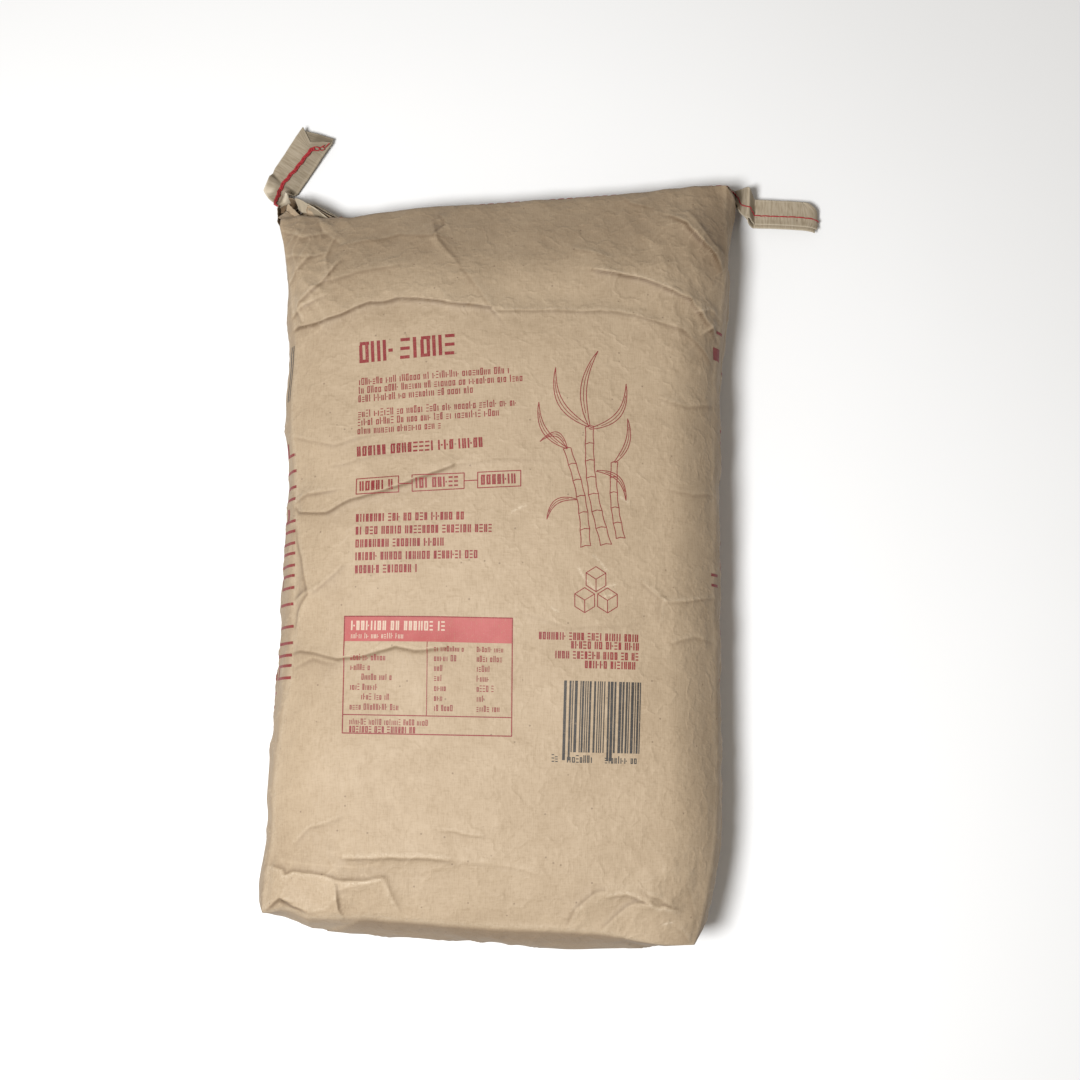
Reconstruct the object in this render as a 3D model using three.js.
// Bag of sugar: a filled kraft paper sack that lies on its back, block bottom at one end,
// taped and sewn mouth at the other.
// Millimetres. +Z is up, +Y points to the sewn mouth, and the origin is on the floor
// under the middle of the sack.
import * as THREE from "three";

const { abs, cos, exp, hypot, max, min, PI, sin } = Math;

// Sizes on the centre line
const BOTTOM_Y = -334; // edge of the front panel over the block bottom
const MOUTH_Y = 316; // outermost line of the rounded mouth end
const MOUTH_SHIFT = 6;
// The right-hand side is the longer one: how far each end leans, per millimetre of width.
const BOTTOM_LEAN = 0.08;
const MOUTH_LEAN = 0.07;

// Front panel and gussets
const LEFT_WAIST = 184;
const RIGHT_WAIST = 191;
const LEFT_FOOT_SPREAD = 15;
const LEFT_FOOT_CORNER = 4;
const LEFT_MOUTH_SPREAD = 28;
const RIGHT_MOUTH_SPREAD = 30;
const RIGHT_FOOT_ROUNDING = 24;
const LEFT_SHOULDER = 7;
const RIGHT_SHOULDER = 3;
const UNDERSIDE_INSET = 12;
const LEFT_GUSSET_BULGE = 12;
const LEFT_GUSSET_SWELL = 6;
const RIGHT_GUSSET_BULGE = 11;
const LEFT_TUCK = 26; // close to the fin the left gusset folds in along its middle
const RIGHT_MOUTH_BULGE = 10; // and the right one stands out
const EAR_SIZE = 14; // the lower left corner of the panel is pulled out to a point
const END_BULGE = 8;
const END_SWELL = 26;
const END_DEPTH = 24; // how far in from the block bottom its swelling fades out
// How far the front panel rolls down towards its side creases, and over what width.
const RIGHT_ROLL = { atBottom: 11, above: 21, width: 44 };
const LEFT_ROLL = { drop: 9, width: 36 };
// The curled paper at the left end of the mouth stands out over the tape.
const CURL = { out: 17, sideways: 5 };

// Sewn fin, closure tape and thread
const FIN_THICKNESS = 4.4;
const FIN_LEFT = 188;
const FIN_FLARE = 20;
const CLEARANCE = 0.35;
const TAPE_THICKNESS = 0.9;
const TAPE_HALF_WIDTH = 15.2;
const TAPE_SLIT = 0.2; // half the gap between the two layers of a tail
const FIN_OVERRUN = 5;
const THREAD_THICKNESS = 1.3;
const CHAIN_THICKNESS = 1.9;
const CHAIN_WIDTH = 3.2;

// Lattice that the sack's skin is drawn on: across, along and up
const ACROSS = 42;
const ALONG = 70;
const UP = 8;

// Stations from the block bottom to the tip of the fin: y and height of the crown,
// height of the side creases, y and height of the underside.
const STATIONS = [
  { y: -334, crown: 105, side: 96, underY: -323, under: 0 },
  { y: -316, crown: 112, side: 98, underY: -308, under: 0 },
  { y: -270, crown: 120, side: 99, underY: -266, under: 0 },
  { y: -180, crown: 125, side: 100, underY: -180, under: 0 },
  { y: -60, crown: 127, side: 101, underY: -60, under: 0 },
  { y: 60, crown: 127, side: 101, underY: 60, under: 0 },
  { y: 160, crown: 123, side: 99, underY: 155, under: 0 },
  { y: 222, crown: 111, side: 94, underY: 212, under: 0 },
  { y: 266, crown: 92, side: 84, underY: 254, under: 0 },
  { y: 302, crown: 71, side: 68, underY: 284, under: 3 },
  { y: 318, crown: 60, side: 58, underY: 300, under: 14 },
  { y: 322, crown: 52, side: 51.5, underY: 309.5, under: 28 },
  { y: 323, crown: 42, side: 42, underY: 319, under: 40.2 },
  { y: 335, crown: 8, side: 8, underY: 331, under: 6.2 },
];
const FIN_ROOT = STATIONS.length - 2; // the last stretch is the flat fin
const FIN_TIP = STATIONS.length - 1;
const LAST_FLAT = 8; // last station whose underside lies on the floor

const clamp = (t) => min(1, max(0, t));
const smooth = (t) => clamp(t) ** 2 * (3 - 2 * clamp(t));
const bell = (t) => exp(-t * t);
const lerp = (a, b, t) => a + (b - a) * t;

// Sizes at a place between stations: a smooth curve along the body, straight along the fin.
function station(t) {
  const k = min(FIN_TIP - 1, Math.floor(t));
  const f = t - k;
  const at = (n, key) => STATIONS[min(FIN_TIP, max(0, n))][key];
  const out = {};
  for (const key of Object.keys(STATIONS[0])) {
    const [p0, p1, p2, p3] = [-1, 0, 1, 2].map((d) => at(k + d, key));
    const m1 = k === FIN_ROOT ? p2 - p1 : (p2 - p0) / 2;
    const m2 = k + 1 === FIN_TIP ? p2 - p1 : (p3 - p1) / 2;
    const curved =
      p1 +
      f * m1 +
      f * f * (3 * (p2 - p1) - 2 * m1 - m2) +
      f ** 3 * (m1 + m2 - 2 * (p2 - p1));
    out[key] = k === FIN_ROOT ? lerp(p1, p2, f) : curved;
  }
  if (t <= LAST_FLAT) out.under = 0;
  return out;
}

// Distance along the crown line, used to space the rows evenly.
const STEPS = 40;
const lengths = [0];
for (let n = 1; n <= FIN_TIP * STEPS; n++) {
  const a = station((n - 1) / STEPS);
  const b = station(n / STEPS);
  lengths.push(lengths[n - 1] + hypot(b.y - a.y, b.crown - a.crown));
}
function placeOfRow(row) {
  const wanted = (row / ALONG) * lengths[lengths.length - 1];
  const n = lengths.findIndex((l, i) => i > 0 && l >= wanted - 1e-9);
  const f = (wanted - lengths[n - 1]) / (lengths[n] - lengths[n - 1]);
  return min(FIN_TIP, (n - 1 + f) / STEPS);
}

// Side creases of the front panel, as distances from the centre line.
function leftCrease(y, t) {
  const foot = LEFT_FOOT_SPREAD * smooth((-80 - y) / 170) + LEFT_FOOT_CORNER * smooth((-270 - y) / 50);
  const mouth = LEFT_MOUTH_SPREAD * clamp((y - 150) / 166) ** 1.6;
  const shoulder = LEFT_SHOULDER * bell((y - 125) / 62);
  return lerp(LEFT_WAIST + foot + mouth + shoulder, FIN_LEFT, smooth(t - 10.6));
}
function rightCrease(y) {
  const foot = RIGHT_FOOT_ROUNDING * clamp((-200 - y) / 140) ** 2;
  const mouth = RIGHT_MOUTH_SPREAD * clamp((y - 130) / 186) ** 1.2;
  return RIGHT_WAIST + mouth + RIGHT_SHOULDER * bell((y - 110) / 90) - foot;
}

// The two ends aren't square to the sides: this carries a straight row to its place.
const bottomEdge = (x) => BOTTOM_Y - BOTTOM_LEAN * x - 11 * smooth((x - 80) / 80);
const mouthEdge = (x) =>
  MOUTH_Y + MOUTH_SHIFT + MOUTH_LEAN * x - 5 * smooth((-60 - x) / 110) + 2 * smooth((x - 120) / 80);
function slanted(x, y) {
  return lerp(
    bottomEdge(x),
    mouthEdge(x),
    (y - BOTTOM_Y) / (MOUTH_Y - BOTTOM_Y),
  );
}
// Near the left corner the fin swings outwards.
const flare = (x, t) => FIN_FLARE * smooth((-150 - x) / 46) * smooth((t - 9.8) / 2.2);

// Folds pressed into the front panel: where each runs, its height, and how far it falls away
// on the left and on the right of its run.
const FOLDS = [
  {
    run: [[-198, 190], [-164, 196], [-119, 213], [-93, 216], [-59, 213], [-10, 205]],
    height: 4.2,
    onLeft: 26,
    onRight: 8,
  },
  {
    run: [[-6, 201], [53, 200], [119, 189], [162, 179], [194, 154]],
    height: 2.6,
    onLeft: 9,
    onRight: 8,
  },
  {
    run: [[84, 238], [120, 230], [168, 215], [183, 197], [200, 184]],
    height: 4.6,
    onLeft: 11,
    onRight: 8,
  },
  {
    run: [[207, 269], [187, 287], [172, 309]],
    height: 4,
    onLeft: 8,
    onRight: 8,
  },
  {
    run: [[-193, 204], [-162, 239], [-150, 254]],
    height: 4,
    onLeft: 7,
    onRight: 9,
  },
  {
    run: [[-188, 31], [-155, 21], [-111, 37], [-44, 60]],
    height: 3.6,
    onLeft: 16,
    onRight: 8,
  },
  {
    run: [[-186, -104], [-142, -111], [-92, -100], [-48, -102]],
    height: 3.4,
    onLeft: 12,
    onRight: 8,
  },
  {
    run: [[-101, -300], [-147, -300], [-200, -292]],
    height: 3.8,
    onLeft: 14,
    onRight: 8,
  },
  {
    run: [[-134, -339], [-141, -306]],
    height: 3.6,
    onLeft: 9,
    onRight: 8,
  },
  {
    run: [[92, -316], [110, -313], [131, -323]],
    height: 2.8,
    onLeft: 8,
    onRight: 8,
  },
  {
    run: [[88, -312], [66, -327], [58, -344]],
    height: 3.2,
    onLeft: 12,
    onRight: 8,
  },
];
function foldRelief(x, y) {
  let sum = 0;
  for (const fold of FOLDS) {
    let best = { d: Infinity };
    const last = fold.run.length - 2;
    for (let n = 0; n <= last; n++) {
      const [ax, ay] = fold.run[n];
      const [bx, by] = fold.run[n + 1];
      const length = hypot(bx - ax, by - ay);
      const along = ((x - ax) * (bx - ax) + (y - ay) * (by - ay)) / length;
      const f = clamp(along / length);
      const d = hypot(x - lerp(ax, bx, f), y - lerp(ay, by, f));
      const beyond = max(n === 0 ? -along : 0, n === last ? along - length : 0);
      const side = (bx - ax) * (y - ay) - (by - ay) * (x - ax);
      if (d < best.d) best = { d, beyond, side };
    }
    const width = best.side > 0 ? fold.onLeft : fold.onRight;
    const off = max(0, best.beyond);
    sum += fold.height * exp(-best.d / width) * bell(off / 14);
  }
  return sum;
}
// Soft hollows and swells that the sugar leaves in the panel.
function softRelief(x, y) {
  const hollow = -5 * bell((x + 120) / 70) * bell((y - 130) / 60);
  const swell = 3 * bell((x - 20) / 90) * bell((y + 20) / 80);
  const dip = -3.5 * bell((x - 60) / 80) * bell((y - 215) / 26);
  return hollow + swell + dip;
}

// The front panel rolls down towards its side creases: wide on the right, slight on the left.
function rolledSides(x, y, t) {
  const toRight = rightCrease(y) - x;
  const toLeft = x + leftCrease(y, t);
  const drop = lerp(RIGHT_ROLL.atBottom, RIGHT_ROLL.above, smooth((y + 330) / 140));
  const right = drop * clamp(1 - toRight / RIGHT_ROLL.width) ** 2;
  const left = LEFT_ROLL.drop * clamp(1 - toLeft / LEFT_ROLL.width) ** 2;
  return (right + left) * smooth((11 - t) / 3);
}

function topPoint(a, t) {
  const s = station(t);
  const x = lerp(-leftCrease(s.y, t), rightCrease(s.y), a);
  const ear = bell((a * 400) / EAR_SIZE) * bell((s.y - BOTTOM_Y) / EAR_SIZE);
  const y = slanted(x, s.y) + flare(x, t);
  const body = smooth((12 - t) / 1.4) * smooth((t + 0.15) / 0.5);
  const inward = smooth((1 - abs(2 * a - 1)) / 0.06);
  const relief = (foldRelief(x, y) + softRelief(x, y)) * body * lerp(0.35, 1, inward);
  const arch = 1 - abs(2 * a - 1) ** 2.6;
  const z = lerp(s.side, s.crown, arch) - rolledSides(x, s.y, t) + relief;
  return new THREE.Vector3(x - 4 * ear, y - 13 * ear, z);
}
function underPoint(a, t) {
  const s = station(t);
  const inset = 1 - smooth((s.underY - 235) / 70);
  const left = -leftCrease(s.y, t) - inset * (leftBulge(s.y, t) - UNDERSIDE_INSET);
  const right = rightCrease(s.y) + inset * (rightBulge(s.y, t) - UNDERSIDE_INSET);
  const x = lerp(left, right, a);
  return new THREE.Vector3(x, slanted(x, s.underY) + flare(x, t), s.under);
}

// How far the gussets swell past the creases; towards the mouth they flatten.
const fullness = (t) =>
  lerp(0.6, 1, smooth(t)) * (1 - 0.8 * smooth((t - 6.4) / 2.6)) * smooth(12 - t);
const leftBulge = (y, t) =>
  (LEFT_GUSSET_BULGE + LEFT_GUSSET_SWELL * bell((y + 90) / 110)) * fullness(t);
const rightBulge = (y, t) => RIGHT_GUSSET_BULGE * fullness(t);
const leftTuck = (t) => LEFT_TUCK * smooth((t - 8.2) / 1.6) * smooth((11.6 - t) / 1.1);
const rightMouthBulge = (t) => RIGHT_MOUTH_BULGE * smooth((t - 8) / 1.8) * smooth((12 - t) / 1.4);

const rounded = (c) => sin(PI * c) ** 0.75;
const roundedLow = (c) => rounded(c ** 0.68); // the block bottom swells most in its lower half
const folded = (c) => 1 - abs(2 * c - 1);
const endSwell = (x) =>
  END_BULGE +
  END_SWELL * smooth((x + 225) / 70) * smooth((200 - x) / 150) +
  4 * smooth((-150 - x) / 40);

function sidePoint(a, t, c) {
  const base = underPoint(a, t).lerp(topPoint(a, t), c);
  const across = 2 * a - 1;
  const onLeft = across < 0;
  const y = station(t).y;
  const bulge = onLeft ? leftBulge(y, t) : rightBulge(y, t);
  const atMouth = onLeft ? -leftTuck(t) * folded(c) : rightMouthBulge(t) * rounded(c);
  const weight = Math.sign(across) * abs(across) ** 4;
  base.x += weight * (bulge * rounded(c) + atMouth);
  const nearEnd = exp(-(y - BOTTOM_Y) / END_DEPTH);
  const square = 1 - (onLeft ? 0.1 : 0.6) * abs(across) ** 8;
  base.y -= endSwell(base.x) * square * nearEnd * roundedLow(c);
  const curl = onLeft ? bell((t - 11) / 0.55) * bell((c - 0.45) / 0.3) : 0;
  base.y += CURL.out * curl;
  base.x -= CURL.sideways * curl;
  return base;
}

// Closed skin from a table of shared points and a list of faces.
class Skin {
  constructor() {
    this.points = [];
    this.faces = [];
    this.known = new Map();
  }
  point(key, make) {
    if (!this.known.has(key)) {
      this.known.set(key, this.points.length);
      this.points.push(make());
    }
    return this.known.get(key);
  }
  quad(a, b, c, d) {
    this.faces.push(a, b, c, a, c, d);
  }
  mesh(name, material) {
    const geometry = new THREE.BufferGeometry();
    const flat = this.points.flatMap((p) => [p.x, p.y, p.z]);
    geometry.setAttribute(
      "position",
      new THREE.Float32BufferAttribute(flat, 3),
    );
    geometry.setIndex(this.faces);
    geometry.computeVertexNormals();
    const mesh = new THREE.Mesh(geometry, material);
    mesh.name = name;
    return mesh;
  }
}

function makeSack(material) {
  const skin = new Skin();
  const places = [...Array(ALONG + 1).keys()].map(placeOfRow);
  const at = (i, j, k) =>
    skin.point(`${i},${j},${k}`, () => {
      if (k === UP) return topPoint(i / ACROSS, places[j]);
      if (k === 0) return underPoint(i / ACROSS, places[j]);
      return sidePoint(i / ACROSS, places[j], k / UP);
    });
  for (let j = 0; j < ALONG; j++)
    for (let i = 0; i < ACROSS; i++)
      skin.quad(at(i, j, UP), at(i + 1, j, UP), at(i + 1, j + 1, UP), at(i, j + 1, UP));
  for (let k = 0; k < UP; k++) {
    for (let j = 0; j < ALONG; j++) {
      skin.quad(at(0, j, k), at(0, j, k + 1), at(0, j + 1, k + 1), at(0, j + 1, k));
      skin.quad(at(ACROSS, j, k), at(ACROSS, j + 1, k), at(ACROSS, j + 1, k + 1), at(ACROSS, j, k + 1));
    }
    for (let i = 0; i < ACROSS; i++) {
      skin.quad(at(i, 0, k), at(i + 1, 0, k), at(i + 1, 0, k + 1), at(i, 0, k + 1));
      skin.quad(at(i, ALONG, k), at(i, ALONG, k + 1), at(i + 1, ALONG, k + 1), at(i + 1, ALONG, k));
    }
  }
  // The part of the underside that lies on the floor is one plane, closed by long strips.
  const lastFlatRow = places.filter((t) => t <= LAST_FLAT).length - 1;
  const middle = ACROSS / 2;
  const fan = (row, next, turned) => {
    for (let i = 0; i < ACROSS; i++) {
      const corner = at(i < middle ? 0 : ACROSS, next, 0);
      const edge = [at(i, row, 0), at(i + 1, row, 0)];
      if (turned) edge.reverse();
      skin.faces.push(edge[0], corner, edge[1]);
    }
    const seam = [at(0, next, 0), at(ACROSS, next, 0)];
    if (turned) seam.reverse();
    skin.faces.push(at(middle, row, 0), seam[0], seam[1]);
  };
  fan(0, 1, false);
  fan(lastFlatRow, lastFlatRow - 1, true);
  for (let j = 1; j < lastFlatRow - 1; j++)
    skin.quad(at(0, j, 0), at(0, j + 1, 0), at(ACROSS, j + 1, 0), at(ACROSS, j, 0));
  for (let j = lastFlatRow; j < ALONG; j++)
    for (let i = 0; i < ACROSS; i++)
      skin.quad(at(i, j, 0), at(i, j + 1, 0), at(i + 1, j + 1, 0), at(i + 1, j, 0));
  return skin.mesh("sack", material);
}

// The tape's run, from the end of the left tail, round its kink, along the fin and out to the end
// of the right tail. Each step holds its middle, the direction of the folded edge, half the gap
// inside, and how far the lower layer sticks out.
const LEFT_TAIL = {
  length: 74,
  rise: 3.5,
  heading: 57,
  stretch: 1.06,
  cutBack: 5.5,
  places: [0.72, 0.5, 0.3, 0.14],
};
// From the kink into the corner of the mouth: the middle, then half the width as a vector.
const LEFT_ROOT = [
  { middle: [-220.5, 357, 7], half: [16.6, 1, 0] },
  { middle: [-220.6, 351.5, 8], half: [12, -0.5, -0.5] },
  { middle: [-220.4, 347, 9], half: [8.4, -1, -1] },
  { middle: [-220.2, 342.5, 10.5], half: [4.6, -0.5, -2.5] },
  { middle: [-217.8, 338, 11.5], half: [4, 1, -5] },
  { middle: [-211, 335, 13], half: [3, 3.5, -8.5] },
  { middle: [-200.5, 334.4, 16.5], half: [2, 5, -11] },
];
const ROOT_STEPS = 2; // rings of the tape for each span of the root
const RIGHT_TAIL = [
  { x: 227, y: 343.6, z: 14.2, tilt: 38, stretch: 1 },
  { x: 231.5, y: 341.6, z: 16.6, tilt: 20, stretch: 1 },
  { x: 235, y: 339.2, z: 21.2, tilt: 4, stretch: 1 },
  { x: 237.6, y: 337.2, z: 24.4, tilt: -4, stretch: 1 },
  { x: 240.2, y: 335, z: 20.8, tilt: -4, stretch: 0.96 },
  { x: 244, y: 332.4, z: 14.2, tilt: 0, stretch: 0.88 },
  { x: 249, y: 331.8, z: 12.8, tilt: 0, stretch: 0.84 },
  { x: 262, y: 331.2, z: 12.6, tilt: 0, stretch: 0.83 },
  { x: 280, y: 330.4, z: 12.5, tilt: 0, stretch: 0.83 },
  { x: 294, y: 329.4, z: 12.3, tilt: 0, stretch: 0.83 },
  { x: 301, y: 328.6, z: 11.4, tilt: 0, stretch: 0.83 },
  { x: 305, y: 328, z: 9.2, tilt: 0, stretch: 0.83 },
  { x: 307, y: 327.6, z: 6, tilt: 0, stretch: 0.83 },
];
const LOWER_LAYER_OUT = 3.6; // on the right tail the lower layer sticks out past the upper one
const degrees = PI / 180;
const flatHeading = (angle) => new THREE.Vector3(cos(angle * degrees), sin(angle * degrees), 0);
const toTheRight = (angle) => flatHeading(angle - 90);

function leftTailSteps() {
  const steps = [];
  const kink = new THREE.Vector3(...LEFT_ROOT[0].middle);
  const outwards = flatHeading(LEFT_TAIL.heading);
  const across = toTheRight(LEFT_TAIL.heading).multiplyScalar(LEFT_TAIL.stretch);
  const place = (distance) => {
    const middle = kink.clone().addScaledVector(outwards, distance);
    middle.z += LEFT_TAIL.rise * smooth(distance / 60);
    return middle;
  };
  // The end is cut at a slant.
  const slant = across.clone().addScaledVector(outwards, LEFT_TAIL.cutBack / TAPE_HALF_WIDTH);
  steps.push({ middle: place(LEFT_TAIL.length - LEFT_TAIL.cutBack), edge: slant, gap: TAPE_SLIT });
  for (const f of LEFT_TAIL.places)
    steps.push({ middle: place(f * LEFT_TAIL.length), edge: across, gap: TAPE_SLIT });
  const root = LEFT_ROOT.map(({ middle, half }) => ({
    middle: new THREE.Vector3(...middle),
    edge: new THREE.Vector3(...half).divideScalar(TAPE_HALF_WIDTH),
  }));
  const lastSpan = root.length - 1;
  for (let n = 0; n <= lastSpan * ROOT_STEPS; n++) {
    const k = min(lastSpan - 1, Math.floor(n / ROOT_STEPS));
    const f = n / ROOT_STEPS - k;
    const middle = root[k].middle.clone().lerp(root[k + 1].middle, f);
    const edge = root[k].edge.clone().lerp(root[k + 1].edge, f);
    steps.push({ middle, edge, gap: TAPE_SLIT });
  }
  return steps;
}

function tapeSteps() {
  const leftTail = leftTailSteps();
  const finGap = FIN_THICKNESS / 2 + CLEARANCE + 0.1;
  const fin = [];
  for (let n = 0; n <= ACROSS; n++) {
    const a = n / ACROSS;
    const tip = topPoint(a, FIN_TIP).add(underPoint(a, FIN_TIP)).multiplyScalar(0.5);
    const top = topPoint(a, FIN_ROOT).add(underPoint(a, FIN_ROOT)).multiplyScalar(0.5);
    const edge = tip.clone().sub(top).normalize();
    const reach = CLEARANCE + TAPE_THICKNESS + 0.7 - TAPE_HALF_WIDTH;
    fin.push({ middle: tip.addScaledVector(edge, reach), edge, gap: finGap });
  }
  // The tape runs straight on a little past each end of the fin.
  const overrun = (end, next) => {
    const beyond = end.middle.clone().sub(next.middle).setLength(FIN_OVERRUN);
    return { ...end, middle: end.middle.clone().add(beyond) };
  };
  const first = overrun(fin[0], fin[1]);
  const last = overrun(fin[ACROSS], fin[ACROSS - 1]);

  const curve = new THREE.CatmullRomCurve3(RIGHT_TAIL.map((p) => new THREE.Vector3(p.x, p.y, p.z)));
  const rightTail = [];
  const spans = RIGHT_TAIL.length - 1;
  for (let n = 0; n <= spans * 3; n++) {
    const k = min(spans - 1, Math.floor(n / 3));
    const f = n / 3 - k;
    const [p, q] = [RIGHT_TAIL[k], RIGHT_TAIL[k + 1]];
    const tilt = lerp(p.tilt, q.tilt, f) * degrees;
    const edge = new THREE.Vector3(0.04, cos(tilt), -sin(tilt)).setLength(lerp(p.stretch, q.stretch, f));
    const middle = curve.getPoint(n / (spans * 3));
    rightTail.push({ middle, edge, gap: TAPE_SLIT, under: LOWER_LAYER_OUT * smooth((middle.x - 230) / 10) });
  }

  const steps = [...leftTail, first, ...fin, last, ...rightTail];
  steps.forEach((step, n) => {
    const along = steps[min(n + 1, steps.length - 1)].middle.clone();
    along.sub(steps[max(n - 1, 0)].middle).normalize();
    step.up = new THREE.Vector3().crossVectors(along, step.edge).normalize();
    step.under ??= 0;
  });
  return { steps, finStart: leftTail.length };
}

// A closed band: the same outline drawn at each step of a run, with both ends capped.
function sweep(name, run, outline, material) {
  const skin = new Skin();
  const rings = run.map((step, n) =>
    outline(step).map(([w, h], m) =>
      skin.point(`${n},${m}`, () =>
        step.middle.clone().addScaledVector(step.edge, w).addScaledVector(step.up, h),
      ),
    ),
  );
  const count = rings[0].length;
  for (let n = 0; n < rings.length - 1; n++)
    for (let m = 0; m < count; m++) {
      const next = (m + 1) % count;
      skin.quad(rings[n][m], rings[n][next], rings[n + 1][next], rings[n + 1][m]);
    }
  for (const [n, turned] of [[0, true], [run.length - 1, false]]) {
    const flat = outline(run[n]).map(([w, h]) => new THREE.Vector2(w, h));
    for (const [a, b, c] of THREE.ShapeUtils.triangulateShape(flat, [])) {
      const face = [rings[n][a], rings[n][b], rings[n][c]];
      if (turned) face.reverse();
      skin.faces.push(...face);
    }
  }
  return skin.mesh(name, material);
}

// Two layers joined along the folded edge, open towards the sack.
function tapeOutline({ gap, under }) {
  const outer = gap + TAPE_THICKNESS;
  const fold = TAPE_HALF_WIDTH;
  const bend = fold - 1.1;
  return [
    [-fold, gap],
    [bend - 0.3, gap],
    [bend - 0.3, -gap],
    [-fold - under, -gap],
    [-fold - under, -outer],
    [bend, -outer],
    [fold, -outer * 0.45],
    [fold, outer * 0.45],
    [bend, outer],
    [-fold, outer],
  ];
}
function threadOutline(offset, width, thickness, clearance) {
  return ({ gap }) => {
    const low = gap + TAPE_THICKNESS + clearance;
    const corners = [];
    for (let n = 0; n < 6; n++) {
      const angle = (n / 6) * 2 * PI + PI / 6;
      corners.push([offset + (width / 2) * cos(angle), low + (thickness / 2) * (1 + sin(angle))]);
    }
    return corners;
  };
}

const kraft = new THREE.MeshStandardMaterial({ color: 0xc0a47f, roughness: 0.85, metalness: 0 });
const crepe = new THREE.MeshStandardMaterial({ color: 0xb5a58c, roughness: 0.9, metalness: 0 });
const red = new THREE.MeshStandardMaterial({ color: 0xb41e26, roughness: 0.75, metalness: 0 });

const bag = new THREE.Group();
bag.name = "bag_of_sugar";
bag.add(makeSack(kraft));
const { steps, finStart } = tapeSteps();
bag.add(sweep("closure_tape", steps, tapeOutline, crepe));
bag.add(
  sweep(
    "chain_thread",
    steps.slice(0, finStart - 2 * ROOT_STEPS),
    threadOutline(1, CHAIN_WIDTH, CHAIN_THICKNESS, 2 * CLEARANCE),
    red,
  ),
);
bag.add(
  sweep(
    "seam_thread",
    steps.slice(finStart, steps.length - 1),
    threadOutline(-1.5, THREAD_THICKNESS, THREAD_THICKNESS, CLEARANCE),
    red,
  ),
);

export default bag;
